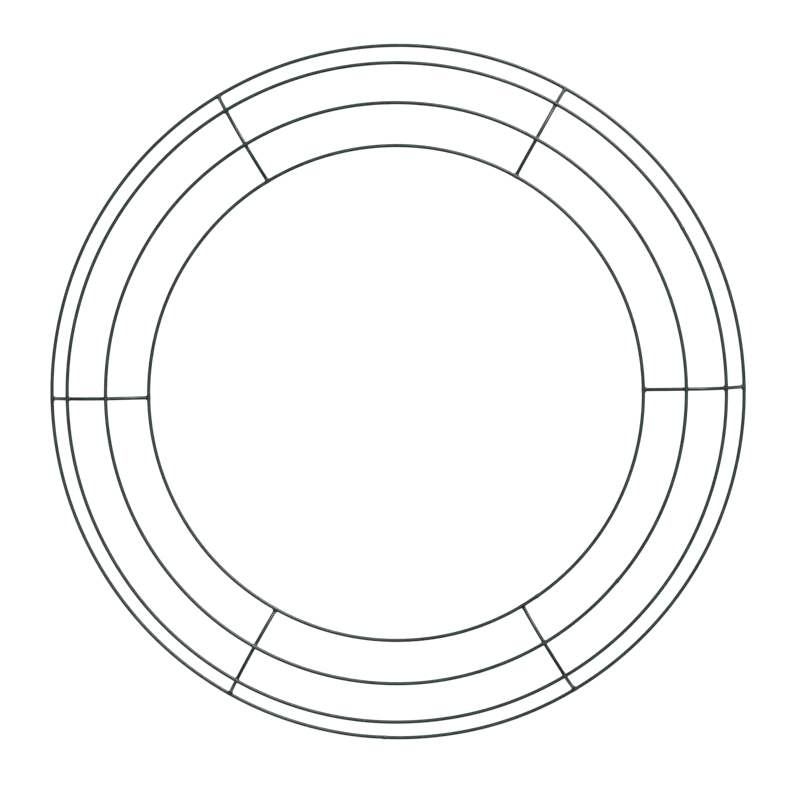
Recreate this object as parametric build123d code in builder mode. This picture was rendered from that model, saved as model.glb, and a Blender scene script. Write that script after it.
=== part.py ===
from build123d import *

import math
import os

os.makedirs("parts", exist_ok=True)

# Raised wire wreath frame: four concentric rings cross-welded onto six arched braces.
# Millimetres and degrees. +Z is up, and the origin is on the ring axis, at the surface
# that the frame lies on. Brace 1 points along +X.

# Driving dimensions
overall_diameter = 355.6    # nominal 14 in, measured over the outer ring
wire_diameter = 1.8         # over the coating; rings and braces are the same mild steel wire
arch_radius = 32.5          # in a radial section the four ring centres lie on this arc
ring_pitch = 39.5           # angle between neighbouring rings, seen from the arc's centre
brace_count = 6
set_down = 0.30             # depth that welding presses a ring into a brace
inner_stub = 1.2            # length of brace past the centre of the inner ring
floor_gap = 0.05            # clearance under the welds and the braces' outer ends
cut_chamfer = 0.18          # softened edge of each cropped brace end
weld_radius = 1.38          # fused metal and coating gathered round each crossing
butt_gap = 0.7              # between the two ends of a ring, filled by its butt weld
bead_radius = 1.08          # thickest part of a butt weld
bead_length = 3.0           # along the wire

# The third ring is the crown of the arch, and the outer ring is the one that meets the floor.
arch_angles = {"outer": 2 * ring_pitch, "second": ring_pitch, "third": 0, "inner": -ring_pitch}
butt_azimuths = {"outer": 267, "second": 29, "third": 319, "inner": 304}

# Worked out from the driving dimensions
wire_radius = wire_diameter / 2
outer_radius = overall_diameter / 2 - wire_radius
crown_radius = outer_radius - arch_radius * math.sin(math.radians(arch_angles["outer"]))
arch_height = wire_radius - arch_radius * math.cos(math.radians(arch_angles["outer"]))
brace_radius = arch_radius - wire_diameter + set_down
contact_radius = (arch_radius + brace_radius) / 2


# Distance from the ring axis and height of a point on an arc concentric with the arch.
# The angle is measured from the crown, positive outwards.
def arch_point(angle, radius):
    turn = math.radians(angle)
    return crown_radius + radius * math.sin(turn), arch_height + radius * math.cos(turn)


# Upright plane through the ring axis: local X is radial and local Y is up.
def radial_plane(azimuth):
    turn = math.radians(azimuth)
    outward = (math.cos(turn), math.sin(turn), 0)
    return Plane(origin=(0, 0, 0), x_dir=outward, z_dir=(math.sin(turn), -math.cos(turn), 0))


# Rings: one wire each, rolled to a circle, with a short gap that its butt weld fills
rings = {}
for ring_name, arch_angle in arch_angles.items():
    ring_radius, ring_height = arch_point(arch_angle, arch_radius)
    gap_angle = math.degrees(butt_gap / ring_radius)
    with BuildPart() as ring:
        with BuildSketch(radial_plane(butt_azimuths[ring_name] + gap_angle / 2)):
            with Locations((ring_radius, ring_height)):
                Circle(wire_radius)
        revolve(axis=Axis.Z, revolution_arc=360 - gap_angle)
    ring.part.label = f"{ring_name}_ring"
    export_step(ring.part, f"parts/{ring_name}_ring.step")
    rings[ring_name] = ring.part

# Butt welds: a web between the ring's ends and a low barrel-shaped collar over them,
# dressed clear of the floor
for ring_name, arch_angle in arch_angles.items():
    ring_radius, ring_height = arch_point(arch_angle, arch_radius)
    section = radial_plane(butt_azimuths[ring_name])
    joint_centre = section.from_local_coords(Vector(ring_radius, ring_height, 0))
    along_wire = -section.z_dir
    edge_radius = wire_radius - (bead_radius - wire_radius) / 2
    with BuildPart() as butt_weld:
        with BuildSketch(Plane(origin=joint_centre, x_dir=along_wire, z_dir=(0, 0, 1))):
            with BuildLine():
                Polyline((bead_length / 2, edge_radius), (bead_length / 2, 0),
                         (-bead_length / 2, 0), (-bead_length / 2, edge_radius))
                ThreePointArc((-bead_length / 2, edge_radius), (0, bead_radius),
                              (bead_length / 2, edge_radius))
            make_face()
        revolve(axis=Axis(joint_centre, along_wire))
        split(bisect_by=Plane.XY.offset(floor_gap), keep=Keep.TOP)
        add(rings[ring_name], mode=Mode.SUBTRACT)
    butt_weld.part.label = f"butt_weld_{ring_name}"
    export_step(butt_weld.part, f"parts/butt_weld_{ring_name}.step")

# Braces: arched cross wires under the rings, with a shallow saddle where each ring is welded.
# The first one points along +X, and the others are the same piece turned about the ring axis.
section = radial_plane(0)
inner_end = arch_angles["inner"] - math.degrees(inner_stub / brace_radius)
lowest_centre = floor_gap + wire_radius * math.cos(math.radians(arch_angles["outer"]))
outer_end = math.degrees(math.acos((lowest_centre - arch_height) / brace_radius))
with BuildPart() as first_brace:
    with BuildLine(section) as bend:
        CenterArc((crown_radius, arch_height), brace_radius, 90 - outer_end, outer_end - inner_end)
    with BuildSketch(bend.line ^ 0):
        Circle(wire_radius)
    sweep()
    chamfer(first_brace.faces().filter_by(GeomType.PLANE).edges(), cut_chamfer)
    plain_brace = first_brace.part    # whole, before its saddles are cut
    for ring_wire in rings.values():
        add(ring_wire, mode=Mode.SUBTRACT)

for index in range(brace_count):
    with BuildPart() as brace:
        add(first_brace.part, rotation=(0, 0, index * 360 / brace_count))
    brace.part.label = f"brace_{index + 1}"
    export_step(brace.part, f"parts/brace_{index + 1}.step")

# Cross welds: metal squeezed out round each crossing, trimmed clear of the floor.
# Each ball is turned so that its poles and seam fall inside the ring's wire.
for ring_name, arch_angle in arch_angles.items():
    contact_x, contact_y = arch_point(arch_angle, contact_radius)
    contact = section.from_local_coords(Vector(contact_x, contact_y, 0))
    away_x, away_y = math.sin(math.radians(arch_angle)), math.cos(math.radians(arch_angle))
    away = section.from_local_coords(Vector(away_x, away_y, 0))
    with BuildPart() as first_weld:
        with Locations(Plane(origin=contact, x_dir=away, z_dir=section.z_dir)):
            Sphere(weld_radius)
        split(bisect_by=Plane.XY.offset(floor_gap), keep=Keep.TOP)
        add(rings[ring_name], mode=Mode.SUBTRACT)
        add(plain_brace, mode=Mode.SUBTRACT)
    fused_metal = first_weld.solids().sort_by(SortBy.VOLUME)[-1]    # without a sliver past the wires
    for index in range(brace_count):
        with BuildPart() as weld:
            add(fused_metal, rotation=(0, 0, index * 360 / brace_count))
        weld.part.label = f"weld_{ring_name}_{index + 1}"
        export_step(weld.part, f"parts/weld_{ring_name}_{index + 1}.step")
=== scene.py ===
import math
import random

import bmesh
import bpy
import numpy as np
from mathutils import Matrix, Vector


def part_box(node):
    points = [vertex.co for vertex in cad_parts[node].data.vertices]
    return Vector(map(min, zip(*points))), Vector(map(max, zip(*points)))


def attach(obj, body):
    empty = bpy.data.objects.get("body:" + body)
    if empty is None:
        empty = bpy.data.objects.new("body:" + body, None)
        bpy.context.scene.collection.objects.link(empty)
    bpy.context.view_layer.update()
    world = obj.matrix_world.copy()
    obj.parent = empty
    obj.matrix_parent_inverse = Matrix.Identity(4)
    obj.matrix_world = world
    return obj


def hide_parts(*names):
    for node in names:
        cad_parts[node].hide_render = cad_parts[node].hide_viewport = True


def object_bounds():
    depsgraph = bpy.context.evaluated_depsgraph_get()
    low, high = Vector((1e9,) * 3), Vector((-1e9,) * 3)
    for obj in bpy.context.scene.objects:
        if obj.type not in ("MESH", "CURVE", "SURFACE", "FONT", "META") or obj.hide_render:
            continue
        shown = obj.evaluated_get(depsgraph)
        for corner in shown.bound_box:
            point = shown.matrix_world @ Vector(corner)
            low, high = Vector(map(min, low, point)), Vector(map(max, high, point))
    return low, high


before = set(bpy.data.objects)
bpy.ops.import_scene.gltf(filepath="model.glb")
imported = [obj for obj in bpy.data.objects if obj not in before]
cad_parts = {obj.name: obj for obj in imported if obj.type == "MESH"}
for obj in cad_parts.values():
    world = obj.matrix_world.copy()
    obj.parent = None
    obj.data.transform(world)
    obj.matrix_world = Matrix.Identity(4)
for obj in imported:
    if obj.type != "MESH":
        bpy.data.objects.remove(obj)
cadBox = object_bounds()

# Welded wire wreath frame: four rings of coated mild steel wire over six arched braces.
# Everything is worked out in millimetres and put into meshes in metres.
print("nodes in the frame:", len(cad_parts))
mm = 0.001
ringNames = ["outer", "second", "third", "inner"]
braceCount = 6


def nodeBox(node):
    low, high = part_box(node)
    return np.array(low) / mm, np.array(high) / mm


def hexColour(text):
    # sRGB hex to the linear colour that the shaders use
    channels = [int(text[i:i + 2], 16) / 255 for i in (1, 3, 5)]
    linear = [c / 12.92 if c <= 0.04045 else ((c + 0.055) / 1.055) ** 2.4 for c in channels]
    return (*linear, 1.0)


# the frame's own geometry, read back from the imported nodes
ringSize = {}
for ringName in ringNames:
    low, high = nodeBox(ringName + "_ring")
    wireRadius = (high[2] - low[2]) / 2
    ringSize[ringName] = {"radius": (high[0] - low[0]) / 2 - wireRadius,
                          "height": (high[2] + low[2]) / 2}

crown = ringSize["third"]["radius"]
rise = ringSize["third"]["height"] - ringSize["second"]["height"]
reach = ringSize["second"]["radius"] - crown
archRadius = (reach ** 2 + rise ** 2) / (2 * rise)             # the ring centres lie on this arc
archHeight = ringSize["third"]["height"] - archRadius
braceRadius = nodeBox("brace_1")[1][2] - wireRadius - archHeight
for size in ringSize.values():
    size["angle"] = math.atan2(size["radius"] - crown, size["height"] - archHeight)
print("frame read: wire", round(2 * wireRadius, 2), "arch", round(archRadius, 2), round(braceRadius, 2))


def wave(seed, counts, size):
    # a smooth closed wobble round a ring, as a sum of a few sines
    draw = random.Random(seed)
    terms = [(n, draw.uniform(0.4, 1) * size / math.sqrt(n), draw.uniform(0, 2 * math.pi)) for n in counts]
    return lambda turn: sum(a * np.sin(n * turn + p) for n, a, p in terms)


def meshObject(name, verts, faces, uvs):
    # a smooth piece from points in mm, kept inside the frame's own box; its UVs are mm along and round
    mesh = bpy.data.meshes.new(name)
    verts = np.clip(np.asarray(verts) * mm, np.array(cadBox[0]), np.array(cadBox[1]))
    mesh.from_pydata(verts.tolist(), [], faces)
    layer = mesh.uv_layers.new(name="along")
    layer.data.foreach_set("uv", np.asarray(uvs, np.float32).ravel())
    mesh.polygons.foreach_set("use_smooth", [True] * len(mesh.polygons))
    mesh.update()
    piece = bpy.data.objects.new(name, mesh)
    bpy.context.scene.collection.objects.link(piece)
    return piece


def tube(name, centres, across, upward, radii, stations):
    # rings of points round a centreline, closed at both ends; stations are the lengths along it in mm,
    # and the line runs against the turn from across to upward
    count, sides = radii.shape
    turn = np.arange(sides) * 2 * math.pi / sides
    verts = (centres[:, None, :] + radii[:, :, None] * (
        np.cos(turn)[None, :, None] * across[:, None, :] + np.sin(turn)[None, :, None] * upward[:, None, :]))
    verts = verts.reshape(-1, 3).tolist()
    faces = []
    uvs = []
    girth = 2 * math.pi * wireRadius
    for i in range(count - 1):
        for j in range(sides):
            k = (j + 1) % sides
            faces.append((i * sides + j, (i + 1) * sides + j, (i + 1) * sides + k, i * sides + k))
            v0, v1 = j / sides * girth, (j + 1) / sides * girth
            uvs += [(stations[i], v0), (stations[i + 1], v0), (stations[i + 1], v1), (stations[i], v1)]
    for i in (0, count - 1):                                    # a fan closes each end
        centre = len(verts)
        verts.append(centres[i].tolist())
        for j in range(sides):
            k = (j + 1) % sides
            corners = (i * sides + j, i * sides + k, centre)
            faces.append(corners if i == 0 else corners[::-1])
            uvs += [(stations[i], 0.0)] * 3
    return meshObject(name, verts, faces, uvs)


# rings: each is one wire, rolled on a small machine and closed with a butt weld
ringWire = {
    "sides": 24,
    "step": 1.0,            # mm between stations
    "coatDip": 0.012,       # mm the coat stands in from the nominal wire, so that its ripples stay inside
    "ripple": 0.009,        # mm of thickness that the dipped coat wanders
    "rolling": 0.10,        # mm that the rolled circle wanders from true
    "rollingWaves": (3, 5, 7, 11, 16), "liftWaves": (4, 6, 9, 14),    # per turn, in plan and in height
    "mismatch": 0.10,       # mm between the two wire ends at the butt weld
    "pulledIn": 0.06,       # mm that the joint stands inside the circle
    "floorLift": 0.4,       # share of the wander in height that is left to the ring on the floor
    "flatHalf": 9.0,        # mm each side of the joint that the rolls leave nearly straight
    "jointAngles": {"outer": 267, "second": 29, "third": 319, "inner": 304},
    "beads": 9,             # drained beads on one ring
    "beadHeight": 0.075,    # mm, of the largest
    "beadSize": (0.4, 1.0),                       # share of that height
    "beadSpread": (0.8, 1.6),                     # mm along the wire
    "beadFacing": (-2.6, -0.5),                   # radians from outward: all hang below the wire
}


# the dipped coat, the same on every wire
dippedCoat = {
    "ripples": 9,
    "rippleLength": (2, 9),                       # mm from crest to crest, along the wire
    "phase": (0, 6.28),     # radians
    "evenedBy": 4.0,        # what their sum is divided by
}


def coatRipple(seed, settings):
    # slow and quick thickness changes of the coat, from about -1 to 1, along a wire and round it
    draw = random.Random(seed)
    terms = [(draw.uniform(*settings["rippleLength"]), draw.uniform(*settings["phase"]),
              draw.uniform(*settings["phase"])) for _ in range(settings["ripples"])]
    return lambda along, turn: sum(np.sin(2 * math.pi * along / length + p) * np.cos(turn + q)
                                   for length, p, q in terms) / settings["evenedBy"]


def ringPath(ringName, turn, settings):
    # centreline of the rolled wire for angles round the ring, with its frame and the pull of the joint
    size = ringSize[ringName]
    seed = 40 + ringNames.index(ringName)
    joint = math.radians(settings["jointAngles"][ringName])
    fromJoint = np.abs((turn - joint + math.pi) % (2 * math.pi) - math.pi) * size["radius"]
    ends = np.exp(-(fromJoint / settings["flatHalf"]) ** 2)
    inward = wave(seed, settings["rollingWaves"], settings["rolling"])(turn) - settings["pulledIn"] * ends
    lift = wave(seed + 9, settings["liftWaves"], settings["rolling"] / 2)(turn)
    if ringName == "outer":
        lift = np.abs(lift) * settings["floorLift"]
        inward = inward - settings["rolling"]
    outward = np.stack([np.cos(turn), np.sin(turn), 0 * turn], 1)
    upward = np.zeros_like(outward)
    upward[:, 2] = 1.0
    distance, height = size["radius"] + inward, size["height"] + lift
    return outward * distance[:, None] + upward * height[:, None], outward, upward, ends


def ringPiece(ringName, settings):
    seed = 40 + ringNames.index(ringName)
    draw = random.Random(seed + 500)
    length = 2 * math.pi * ringSize[ringName]["radius"]
    count = int(length / settings["step"])
    joint = math.radians(settings["jointAngles"][ringName])
    turn = joint + np.linspace(0.0, 2 * math.pi, count)
    along = (turn - joint) * ringSize[ringName]["radius"]
    centres, outward, upward, ends = ringPath(ringName, turn, settings)
    side = np.where(along < length / 2, 1.0, -1.0) * ends * settings["mismatch"] / 2
    centres = centres + outward * side[:, None]
    clock = np.arange(settings["sides"]) * 2 * math.pi / settings["sides"]
    ripple = coatRipple(seed, dippedCoat)(along[:, None], clock[None, :]) * settings["ripple"]
    radii = wireRadius - settings["coatDip"] + ripple
    for _ in range(settings["beads"]):                          # drained enamel dried in low beads
        at = draw.uniform(0, length)
        size, spread = draw.uniform(*settings["beadSize"]), draw.uniform(*settings["beadSpread"])
        facing = np.maximum(np.cos(clock - draw.uniform(*settings["beadFacing"])), 0) ** 2
        bead = np.exp(-((along - at) / spread) ** 2) * settings["beadHeight"] * size
        radii += bead[:, None] * facing[None, :]
    return tube(ringName + "RingWire", centres, outward, upward, radii, along)


pieces = {}
for ringName in ringNames:
    piece = ringPiece(ringName, ringWire)
    pieces[piece.name] = piece
    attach(piece, "root")
    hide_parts(ringName + "_ring")
print("rings done:", len(pieces))


# braces: cropped lengths of the same wire, bent to the arch
braceWire = {
    "sides": 24,
    "step": 0.35,
    "innerStub": 1.2,       # mm of wire past the inner ring
    "floorGap": 0.07,       # mm under the outer end
    "coatDip": 0.012,
    "ripple": 0.010,
    "lean": 0.10,           # mm that the bend wanders sideways
    "leanWaves": (1, 2, 3), "leanSpan": 3.0,
    "endRound": 0.32,       # mm over which the coat rounds a cropped end
    "endShrink": 0.30,      # share of the radius lost at the very end
    "endDrop": 0.06,        # mm of enamel caught at the inner cropped end
    "dropPlace": 0.5, "dropSpread": 0.45,         # mm from that end, and along the wire
}


def braceEnds(settings):
    # arch angles of the two cropped ends, outer then inner
    lowest = settings["floorGap"] + wireRadius * math.cos(ringSize["outer"]["angle"])
    inner = ringSize["inner"]["angle"] - settings["innerStub"] / braceRadius
    return math.acos((lowest - archHeight) / braceRadius), inner


def bracePath(index, angle, settings):
    # centreline of a bent brace for angles along its arch, with its frame
    azimuth = index * 2 * math.pi / braceCount
    radial = np.array([math.cos(azimuth), math.sin(azimuth), 0.0])
    sideways = np.array([-math.sin(azimuth), math.cos(azimuth), 0.0])
    vertical = np.array([0.0, 0.0, 1.0])
    start, stop = braceEnds(settings)
    share = (start - angle) / (start - stop)
    sway = wave(70 + index, settings["leanWaves"], settings["lean"])(share * settings["leanSpan"])
    away = radial * np.sin(angle)[:, None] + vertical * np.cos(angle)[:, None]
    centres = radial * crown + vertical * archHeight + away * braceRadius + sideways * sway[:, None]
    return centres, np.repeat(sideways[None, :], len(angle), 0), away


def bracePiece(index, settings):
    start, stop = braceEnds(settings)
    angle = np.linspace(start, stop, int((start - stop) * braceRadius / settings["step"]))
    along = (start - angle) * braceRadius
    centres, across, away = bracePath(index, angle, settings)
    clock = np.arange(settings["sides"]) * 2 * math.pi / settings["sides"]
    ripple = coatRipple(80 + index, dippedCoat)(along[:, None], clock[None, :]) * settings["ripple"]
    fromInner = along[-1] - along
    drop = settings["endDrop"] * np.exp(-((fromInner - settings["dropPlace"]) / settings["dropSpread"]) ** 2)
    soften = np.clip(np.minimum(along, fromInner) / settings["endRound"], 0, 1)
    shrink = 1 - settings["endShrink"] * (1 - np.sqrt(1 - (1 - soften) ** 2))   # edges rounded by the coat
    radii = (wireRadius - settings["coatDip"] + ripple + drop[:, None]) * shrink[:, None]
    return tube("braceWire" + str(index + 1), centres, across, away, radii, along)


for index in range(braceCount):
    piece = bracePiece(index, braceWire)
    pieces[piece.name] = piece
    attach(piece, "root")
    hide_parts("brace_" + str(index + 1))
print("braces done:", len(pieces))


# welds at the crossings: squeezed-out metal and the coat that gathers in the corners
crossWeld = {
    "ringArm": 4.2,         # mm of ring each side that the thickened coat covers
    "braceArm": 3.7,
    "stations": 25, "sides": 18,                  # of each arm
    "ringShift": 0.25, "braceShift": 0.2,         # mm that the coat on each wire is off the crossing
    "tipGap": 0.04,         # mm that it stops short of the brace's inner end
    "swell": 0.085,         # mm the coat stands over the wire at the crossing
    "sink": 0.080,          # mm under the wire's surface where the skin ends
    "lens": (1.50, 1.42, 0.76),   # mm, half sizes of the fused metal: along the ring, the brace, through
    "lensChange": 0.12,     # how much they differ from weld to weld
    "voxel": 0.125,         # mm
    "relax": 9,
    "poolReach": 0.30,      # mm off both wires where the pool counts as full
    "lumps": 0.050, "lumpCount": 5,               # mm, and how many waves make them
    "lumpWaves": 3,         # radians per mm at most
    "lumpsOffPool": 0.25,   # share of the lumps that the coat away from the pool keeps
    "flatOver": 0.02,       # mm over the wire where the electrodes flattened the skin
    "pressed": 0.85,        # share of what stood higher that they took off
}


def armRadius(distance, arm, settings):
    fade = np.clip(np.abs(distance) / arm, 0, 1)
    fade = fade * fade * (3 - 2 * fade)
    return wireRadius + settings["swell"] - (settings["swell"] + settings["sink"]) * fade


def armMesh(shell, centres, across, upward, radii, sides):
    # one capped length of tube added to a bmesh, in metres
    turns = [2 * math.pi * j / sides for j in range(sides)]
    loops = []
    for centre, a, b, radius in zip(centres, across, upward, radii):
        points = [centre + radius * (math.cos(t) * a + math.sin(t) * b) for t in turns]
        loops.append([shell.verts.new(point * mm) for point in points])
    for first, second in zip(loops, loops[1:]):
        for j in range(sides):
            k = (j + 1) % sides
            shell.faces.new((first[j], first[k], second[k], second[j]))
    shell.faces.new(loops[0][::-1])
    shell.faces.new(loops[-1])


def applyModifiers(piece):
    depsgraph = bpy.context.evaluated_depsgraph_get()
    mesh = bpy.data.meshes.new_from_object(piece.evaluated_get(depsgraph))
    piece.modifiers.clear()
    old = piece.data
    piece.data = mesh
    bpy.data.meshes.remove(old)
    mesh.name = piece.name


def crossingAt(ringName, index):
    # the centres of the two wires where they cross, and three directions: along the ring, out from the
    # arch's middle, and along the brace
    azimuth = index * 2 * math.pi / braceCount
    ringCentre = ringPath(ringName, np.array([azimuth]), ringWire)[0][0]
    centres, across, away = bracePath(index, np.array([ringSize[ringName]["angle"]]), braceWire)
    return ringCentre, centres[0], across[0], away[0], np.cross(across[0], away[0])


def ringArms(shell, ringName, index, draw, settings):
    # thickened coat on the ring, both ways from the crossing
    azimuth = index * 2 * math.pi / braceCount
    along = np.linspace(-settings["ringArm"], settings["ringArm"], settings["stations"])
    along += draw.uniform(-settings["ringShift"], settings["ringShift"])
    turn = azimuth + along / ringSize[ringName]["radius"]
    centres, outward, upward, _ = ringPath(ringName, turn, ringWire)
    radii = armRadius(along, settings["ringArm"], settings)
    armMesh(shell, centres, outward, upward, radii, settings["sides"])


def braceArms(shell, ringName, index, draw, settings):
    # the same on the brace, cut short where the brace ends
    tipOuter, tipInner = braceEnds(braceWire)
    half = settings["braceArm"] / braceRadius
    shift = draw.uniform(-settings["braceShift"], settings["braceShift"]) / braceRadius
    middle = ringSize[ringName]["angle"] + shift
    low = max(middle - half, tipInner + settings["tipGap"] / braceRadius)
    high = min(middle + half, tipOuter)
    angle = np.linspace(low, high, settings["stations"])
    centres, across, away = bracePath(index, angle, braceWire)
    radii = armRadius((angle - middle) * braceRadius, settings["braceArm"], settings)
    armMesh(shell, centres, across, away, radii, settings["sides"])


def fusedMetal(shell, crossing, draw, settings):
    # the lens of metal squeezed out between the wires
    ringCentre, braceCentre, sideways, out, slope = crossing
    contact = (ringCentre + braceCentre) / 2
    lens = bmesh.ops.create_icosphere(shell, subdivisions=3, radius=1.0)["verts"]
    sizes = [half * (1 + draw.uniform(-settings["lensChange"], settings["lensChange"]))
             for half in settings["lens"]]
    for vert in lens:
        p = np.array(vert.co)
        place = contact + sideways * p[0] * sizes[0] + slope * p[1] * sizes[1] + out * p[2] * sizes[2]
        vert.co = Vector(place * mm)


def blendedSkin(name, shell, settings):
    # one closed skin over everything in the shell, with softened corners
    mesh = bpy.data.meshes.new(name)
    shell.to_mesh(mesh)
    shell.free()
    piece = bpy.data.objects.new(name, mesh)
    bpy.context.scene.collection.objects.link(piece)
    skin = piece.modifiers.new("skin", "REMESH")
    skin.mode = "VOXEL"
    skin.voxel_size = settings["voxel"] * mm
    relax = piece.modifiers.new("relax", "SMOOTH")
    relax.factor = 0.5
    relax.iterations = settings["relax"]
    applyModifiers(piece)
    return piece


def vertexArray(mesh, attribute):
    values = np.empty(len(mesh.vertices) * 3)
    mesh.vertices.foreach_get(attribute, values)
    return values.reshape(-1, 3)


def dressWeld(piece, crossing, draw, settings):
    # lumps, pressed flats, and a mask of how far the skin stands off the bare wires
    ringCentre, braceCentre, sideways, out, slope = crossing
    mesh = piece.data
    co = vertexArray(mesh, "co") / mm
    normals = vertexArray(mesh, "normal")
    ringRadius = math.hypot(ringCentre[0], ringCentre[1])
    toRing = np.hypot(np.hypot(co[:, 0], co[:, 1]) - ringRadius, co[:, 2] - ringCentre[2]) - wireRadius
    fromArch = co - (braceCentre - out * braceRadius)
    inPlane = np.hypot(fromArch @ out, fromArch @ slope) - braceRadius
    toBrace = np.hypot(inPlane, fromArch @ sideways) - wireRadius
    pool = np.clip(np.minimum(toRing, toBrace) / settings["poolReach"], 0, 1)
    lumps = np.zeros(len(co))
    for _ in range(settings["lumpCount"]):
        run = [draw.uniform(-settings["lumpWaves"], settings["lumpWaves"]) for _ in range(3)]
        lumps += np.sin(co @ np.array(run) + draw.uniform(0, 6))
    co += normals * (lumps * settings["lumps"] / 3 * (settings["lumpsOffPool"] + pool))[:, None]
    # the flats pressed by the welding electrodes, over the ring and under the brace
    for centre, facing in ((ringCentre, out), (braceCentre, -out)):
        over = (co - centre) @ facing - (wireRadius + settings["flatOver"])
        co -= facing * (np.maximum(over, 0) * settings["pressed"])[:, None]
    co = np.clip(co * mm, np.array(cadBox[0]), np.array(cadBox[1]))
    mesh.vertices.foreach_set("co", co.ravel())
    mesh.attributes.new("pool", "FLOAT", "POINT").data.foreach_set("value", pool.astype(np.float32))
    mesh.polygons.foreach_set("use_smooth", [True] * len(mesh.polygons))
    mesh.update()


def crossWeldPiece(ringName, index, settings):
    draw = random.Random(200 + 10 * ringNames.index(ringName) + index)
    crossing = crossingAt(ringName, index)
    shell = bmesh.new()
    ringArms(shell, ringName, index, draw, settings)
    braceArms(shell, ringName, index, draw, settings)
    fusedMetal(shell, crossing, draw, settings)
    piece = blendedSkin("crossWeld" + ringName.capitalize() + str(index + 1), shell, settings)
    dressWeld(piece, crossing, draw, settings)
    return piece


for ringName in ringNames:
    for index in range(braceCount):
        piece = crossWeldPiece(ringName, index, crossWeld)
        pieces[piece.name] = piece
        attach(piece, "root")
        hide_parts("weld_" + ringName + "_" + str(index + 1))
print("cross welds done:", len(pieces), "faces in one:", len(piece.data.polygons))


# butt welds: the low collar of flash that closes each ring
buttWeld = {
    "length": 4.8,          # mm of wire that it covers
    "collar": 0.22, "collarHalf": 0.55,           # mm over the wire at the middle, and along it
    "shoulder": 0.03,       # mm that the skin stands over the wire beside the collar
    "sink": 0.07,           # mm under the wire's surface at the ends
    "poolHalf": 0.8,        # mm each side of the joint that the pooled coat shows
    "uneven": 0.25,         # share of the collar's height that comes and goes round the wire
    "sides": 28,
    "stations": 33,
    "lumps": 0.05, "lumpCount": 5,                # mm, and how many waves make them
    "lumpWaves": (1, 4),    # radians per mm along the wire, and whole waves round it
}


def buttWeldPiece(ringName, settings):
    draw = random.Random(300 + ringNames.index(ringName))
    joint = math.radians(ringWire["jointAngles"][ringName])
    along = np.linspace(-0.5, 0.5, settings["stations"]) * settings["length"]
    centres, outward, upward, _ = ringPath(ringName, joint + along / ringSize[ringName]["radius"], ringWire)
    clock = np.arange(settings["sides"]) * 2 * math.pi / settings["sides"]
    taper = (np.abs(along) / along[-1])[:, None] ** 2
    uneven = 1 - settings["uneven"] + settings["uneven"] * np.cos(clock * 2 + draw.uniform(0, 6))
    swellAt = np.exp(-(along / settings["collarHalf"]) ** 2)[:, None] * uneven[None, :]
    lumps = np.zeros_like(swellAt)
    for _ in range(settings["lumpCount"]):
        lengthwise = draw.uniform(*settings["lumpWaves"])
        about = np.round(draw.uniform(*settings["lumpWaves"]))
        lumps += np.sin(along[:, None] * lengthwise + about * clock[None, :] + draw.uniform(0, 6))
    collar = settings["collar"] + lumps * settings["lumps"] / 4
    radii = wireRadius + settings["shoulder"] * (1 - taper) - settings["sink"] * taper + swellAt * collar
    piece = tube("buttWeld" + ringName.capitalize(), centres, outward, upward, radii, along)
    pool = np.repeat(np.exp(-(along / settings["poolHalf"]) ** 2), settings["sides"])
    pool = np.append(pool, (0.0, 0.0))                          # the two end caps' middles
    piece.data.attributes.new("pool", "FLOAT", "POINT").data.foreach_set("value", pool.astype(np.float32))
    return piece


for ringName in ringNames:
    piece = buttWeldPiece(ringName, buttWeld)
    pieces[piece.name] = piece
    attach(piece, "root")
    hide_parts("butt_weld_" + ringName)
print("butt welds done:", len(pieces))


# materials
def addNode(tree, kind, settings=None, links=None):
    # a node with its settings, which are inputs or properties, and what feeds its inputs
    node = tree.nodes.new(kind)
    for key, value in (settings or {}).items():
        if isinstance(key, int) or key in node.inputs:
            node.inputs[key].default_value = value
        else:
            setattr(node, key, value)
    for socket, source in (links or {}).items():
        tree.links.new(source, node.inputs[socket])
    return node


def perMetre(millimetres):
    # texture scale whose features are about this many millimetres across
    return 1 / (millimetres * mm)


# Green stoving enamel, dipped over drawn mild steel wire. The dip gives a satin gloss with a soft
# orange peel, bands where it drained thick and thin, and a few chips down to grey phosphated steel.
enamel = {
    "deep": "#0f201b", "fresh": "#1c352d", "dry": "#30463f", "scuff": "#51635b", "steel": "#6f7470",
    "specular": 0.42, "glossy": 0.25, "dull": 0.47,
    "bandLength": 7.0, "bandRange": (0.36, 0.66),
    "cloud": 0.7, "cloudRange": (0.56, 0.74), "dulled": 0.35,         # mm across the dull patches
    "sheenRange": (0.3, 0.7),                     # of the same patches, from glossy to dull
    "peel": 0.55, "peelDepth": 0.05, "peelStrength": 0.35,            # mm, orange peel
    "dieLine": 0.12, "lineDepth": 0.02,           # mm; real drawing marks are finer, coarser here to show
    "lineStretch": 0.06, "lineStrength": 0.22,    # 0.06 of a wave to each mm along the wire
    "scuffLength": 4.0, "scuffWidth": 0.45,       # mm, rubs from stacking, drawn out along the wire
    "scuffRange": (0.60, 0.76), "scuffed": 0.45,
    "nib": 0.9, "nibRange": (0.16, 0.05), "nibHeight": 0.03,          # mm between dust nibs, and up
    "nibStrength": 0.4,
    "grit": 0.35, "gritRange": (0.52, 0.70), "powdered": 0.5,         # mm, powdery bloom on weld flash
    "chipSize": 1.6, "chipRange": (0.735, 0.75),  # mm across the flaws, and which of them chipped
    "film": 0.05, "chipStrength": 0.6,            # mm, the depth of the film at a chip
}


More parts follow.
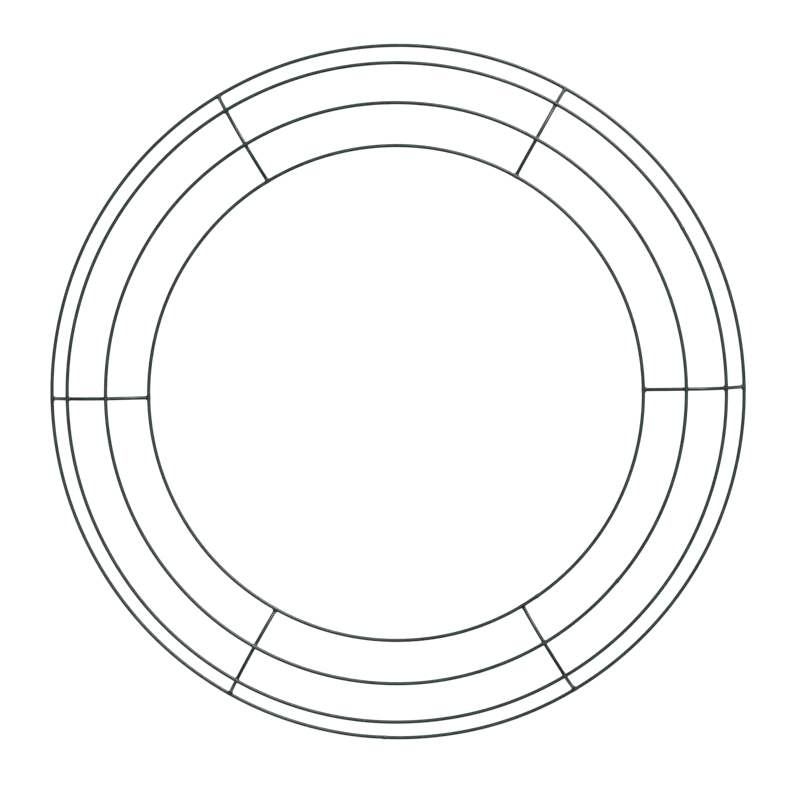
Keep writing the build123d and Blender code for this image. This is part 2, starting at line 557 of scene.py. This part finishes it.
def enamelFilm(tree, place, settings):
    # the film itself: bands drained thick and thin, then duller patches; gives its colour and the patches
    bands = addNode(tree, "ShaderNodeTexNoise", {"Scale": perMetre(settings["bandLength"]), "Detail": 3.0},
                    {"Vector": place})
    film = addNode(tree, "ShaderNodeValToRGB", None, {"Fac": bands.outputs["Fac"]})
    film.color_ramp.elements[0].position, film.color_ramp.elements[1].position = settings["bandRange"]
    film.color_ramp.elements[0].color = hexColour(settings["deep"])
    film.color_ramp.elements[1].color = hexColour(settings["fresh"])
    cloud = addNode(tree, "ShaderNodeTexNoise", {"Scale": perMetre(settings["cloud"]), "Detail": 4.0,
                                                 "Roughness": 0.65}, {"Vector": place})
    low, high = settings["cloudRange"]
    dulled = addNode(tree, "ShaderNodeMapRange",
                     {"From Min": low, "From Max": high, "To Max": settings["dulled"]},
                     {"Value": cloud.outputs["Fac"]})
    coat = addNode(tree, "ShaderNodeMix", {"data_type": "RGBA", 7: hexColour(settings["dry"])},
                   {0: dulled.outputs["Result"], 6: film.outputs["Color"]})
    return coat.outputs[2], cloud.outputs["Fac"]


def powderOnFlash(tree, place, settings):
    # a powdery bloom where the coat pooled over weld flash, as a share of the scuffed colour
    pool = addNode(tree, "ShaderNodeAttribute", {"attribute_name": "pool"})
    grit = addNode(tree, "ShaderNodeTexNoise", {"Scale": perMetre(settings["grit"]), "Detail": 3.0},
                   {"Vector": place})
    low, high = settings["gritRange"]
    powder = addNode(tree, "ShaderNodeMapRange",
                     {"From Min": low, "From Max": high, "To Max": settings["powdered"]},
                     {"Value": grit.outputs["Fac"]})
    bloom = addNode(tree, "ShaderNodeMath", {"operation": "MULTIPLY"},
                    {0: powder.outputs["Result"], 1: pool.outputs["Fac"]})
    return bloom.outputs["Value"]


def drawnWireMarks(tree, relief, settings):
    # drawing marks that show through the coat, and rubs along the wire; gives the rubs and the relief
    lengthwise = addNode(tree, "ShaderNodeUVMap", {"uv_map": "along"})
    drawn = addNode(tree, "ShaderNodeMapping",
                    {"Scale": (settings["lineStretch"], 1 / settings["dieLine"], 1.0)},
                    {"Vector": lengthwise.outputs["UV"]})
    lines = addNode(tree, "ShaderNodeTexNoise", {"Scale": 1.0, "Detail": 2.0},
                    {"Vector": drawn.outputs["Vector"]})
    relief = addNode(tree, "ShaderNodeBump",
                     {"Strength": settings["lineStrength"], "Distance": settings["lineDepth"] * mm},
                     {"Height": lines.outputs["Fac"], "Normal": relief.outputs["Normal"]})
    rub = (1 / settings["scuffLength"], 1 / settings["scuffWidth"], 1.0)
    rubbed = addNode(tree, "ShaderNodeMapping", {"Scale": rub}, {"Vector": lengthwise.outputs["UV"]})
    scuffs = addNode(tree, "ShaderNodeTexNoise", {"Scale": 1.0, "Detail": 5.0, "Roughness": 0.6},
                     {"Vector": rubbed.outputs["Vector"]})
    low, high = settings["scuffRange"]
    marks = addNode(tree, "ShaderNodeMapRange",
                    {"From Min": low, "From Max": high, "To Max": settings["scuffed"]},
                    {"Value": scuffs.outputs["Fac"]})
    return marks.outputs["Result"], relief


def greenEnamelOnWire(name, settings, welded):
    material = bpy.data.materials.new(name)
    material.use_nodes = True
    tree = material.node_tree
    tree.nodes.clear()
    place = addNode(tree, "ShaderNodeTexCoord").outputs["Object"]
    film, cloud = enamelFilm(tree, place, settings)
    # relief and marks, from the softest to the sharpest
    peel = addNode(tree, "ShaderNodeTexNoise", {"Scale": perMetre(settings["peel"]), "Detail": 2.0},
                   {"Vector": place})
    relief = addNode(tree, "ShaderNodeBump",
                     {"Strength": settings["peelStrength"], "Distance": settings["peelDepth"] * mm},
                     {"Height": peel.outputs["Fac"]})
    if welded:
        marks = powderOnFlash(tree, place, settings)
    else:
        marks, relief = drawnWireMarks(tree, relief, settings)
    coat = addNode(tree, "ShaderNodeMix", {"data_type": "RGBA", 7: hexColour(settings["scuff"])},
                   {0: marks, 6: film})
    dust = addNode(tree, "ShaderNodeTexVoronoi", {"Scale": perMetre(settings["nib"])}, {"Vector": place})
    low, high = settings["nibRange"]
    nibs = addNode(tree, "ShaderNodeMapRange", {"From Min": low, "From Max": high},
                   {"Value": dust.outputs["Distance"]})
    relief = addNode(tree, "ShaderNodeBump",
                     {"Strength": settings["nibStrength"], "Distance": settings["nibHeight"] * mm},
                     {"Height": nibs.outputs["Result"], "Normal": relief.outputs["Normal"]})
    flaws = addNode(tree, "ShaderNodeTexNoise", {"Scale": perMetre(settings["chipSize"]), "Detail": 5.0,
                                                 "Roughness": 0.6}, {"Vector": place})
    low, high = settings["chipRange"]
    chips = addNode(tree, "ShaderNodeMapRange", {"From Min": low, "From Max": high},
                    {"Value": flaws.outputs["Fac"]})
    sunk = {"Strength": settings["chipStrength"], "Distance": settings["film"] * mm, "invert": True}
    relief = addNode(tree, "ShaderNodeBump", sunk,
                     {"Height": chips.outputs["Result"], "Normal": relief.outputs["Normal"]})
    colour = addNode(tree, "ShaderNodeMix", {"data_type": "RGBA", 7: hexColour(settings["steel"])},
                     {0: chips.outputs["Result"], 6: coat.outputs[2]})
    low, high = settings["sheenRange"]
    satin = {"From Min": low, "From Max": high, "To Min": settings["glossy"], "To Max": settings["dull"]}
    sheen = addNode(tree, "ShaderNodeMapRange", satin, {"Value": cloud})
    shader = addNode(tree, "ShaderNodeBsdfPrincipled", {"Specular IOR Level": settings["specular"]}, {
        "Base Color": colour.outputs[2], "Roughness": sheen.outputs["Result"],
        "Metallic": chips.outputs["Result"], "Normal": relief.outputs["Normal"]})
    addNode(tree, "ShaderNodeOutputMaterial", None, {"Surface": shader.outputs["BSDF"]})
    return material


wireEnamel = greenEnamelOnWire("greenEnamelOnDrawnWire", enamel, False)
weldEnamel = greenEnamelOnWire("greenEnamelPooledOnWeld", enamel, True)
for name, piece in pieces.items():
    piece.data.materials.clear()
    piece.data.materials.append(weldEnamel if "Weld" in name else wireEnamel)
print("materials done")


# table, lights and camera
studio = {
    "tableSize": 6.0,       # metres
    "tableColour": "#595958",
    "glowOnWire": 0.55, "glowSeen": 1.0,          # the table's light, on the wire and to the camera
    "world": 0.24, "backdrop": 1.1,               # the room's light, the same two ways
    "softboxes": {          # place in metres, size in metres, watts
        "keyLight": ((0.9, 1.6, 1.1), 1.4, 82),
        "fillLight": ((-1.5, -0.6, 1.7), 1.4, 6),
        "topLight": ((0.3, 0.2, 2.6), 1.8, 17),
    },
    "cameraDistance": 1.15, "offAxis": (0.036, 0.028),                # metres up, and to the side
    "aim": (0.0017, -0.0037),                     # metres from the frame's middle
    "outerRadiusOnFilm": 0.433,                   # share of the picture's width
    "roll": 1.0,            # degrees
    "farthest": 50,         # metres that the camera sees
}


def lightTable():
    # a matt opal acrylic sheet lit from beneath: no shadow shows on it, and it is dimmer from the side
    bpy.ops.mesh.primitive_grid_add(x_subdivisions=8, y_subdivisions=8, size=studio["tableSize"])
    table = bpy.context.object
    table.name = "lightTable"
    material = bpy.data.materials.new("mattOpalAcrylic")
    material.use_nodes = True
    tree = material.node_tree
    tree.nodes.clear()
    path = addNode(tree, "ShaderNodeLightPath")
    glow = addNode(tree, "ShaderNodeMapRange",
                   {"To Min": studio["glowOnWire"], "To Max": studio["glowSeen"]},
                   {"Value": path.outputs["Is Camera Ray"]})
    opal = {"Base Color": hexColour(studio["tableColour"]), "Roughness": 0.9, "Specular IOR Level": 0.1,
            "Emission Color": (1, 1, 1, 1)}
    shader = addNode(tree, "ShaderNodeBsdfPrincipled", opal, {"Emission Strength": glow.outputs["Result"]})
    addNode(tree, "ShaderNodeOutputMaterial", None, {"Surface": shader.outputs["BSDF"]})
    table.data.materials.append(material)


def softbox(name, place, size, watts):
    light = bpy.data.objects.new(name, bpy.data.lights.new(name, "AREA"))
    light.data.shape = "DISK"
    light.data.size = size
    light.data.energy = watts
    light.location = place
    light.rotation_euler = (-Vector(place)).to_track_quat("-Z", "Y").to_euler()   # facing the frame
    bpy.context.scene.collection.objects.link(light)


lightTable()
for name, (place, size, watts) in studio["softboxes"].items():
    softbox(name, place, size, watts)

# a dim room to the wire, and plain white behind everything when it is looked at directly
world = bpy.data.worlds.new("studio")
world.use_nodes = True
world.node_tree.nodes.clear()
path = addNode(world.node_tree, "ShaderNodeLightPath")
level = addNode(world.node_tree, "ShaderNodeMapRange",
                {"To Min": studio["world"], "To Max": studio["backdrop"]},
                {"Value": path.outputs["Is Camera Ray"]})
room = addNode(world.node_tree, "ShaderNodeBackground", {"Color": (1, 1, 1, 1)},
               {"Strength": level.outputs["Result"]})
addNode(world.node_tree, "ShaderNodeOutputWorld", None, {"Surface": room.outputs["Background"]})
bpy.context.scene.world = world
bpy.context.scene.view_settings.view_transform = "Standard"

camera = bpy.data.objects.new("camera", bpy.data.cameras.new("camera"))
bpy.context.scene.collection.objects.link(camera)
aim = Vector((*studio["aim"], 0.0))
camera.location = aim + Vector((*studio["offAxis"], studio["cameraDistance"]))
view = (aim - camera.location).normalized()
up = Vector((math.sin(math.radians(studio["roll"])), math.cos(math.radians(studio["roll"])), 0.0))
sideAxis = view.cross(up).normalized()
camera.rotation_euler = Matrix((sideAxis, sideAxis.cross(view), -view)).transposed().to_euler()
outerRing = ringSize["outer"]["radius"] * mm
camera.data.lens = (camera.data.sensor_width * studio["outerRadiusOnFilm"]
                    * studio["cameraDistance"] / outerRing)
camera.data.clip_end = studio["farthest"]
bpy.context.scene.camera = camera
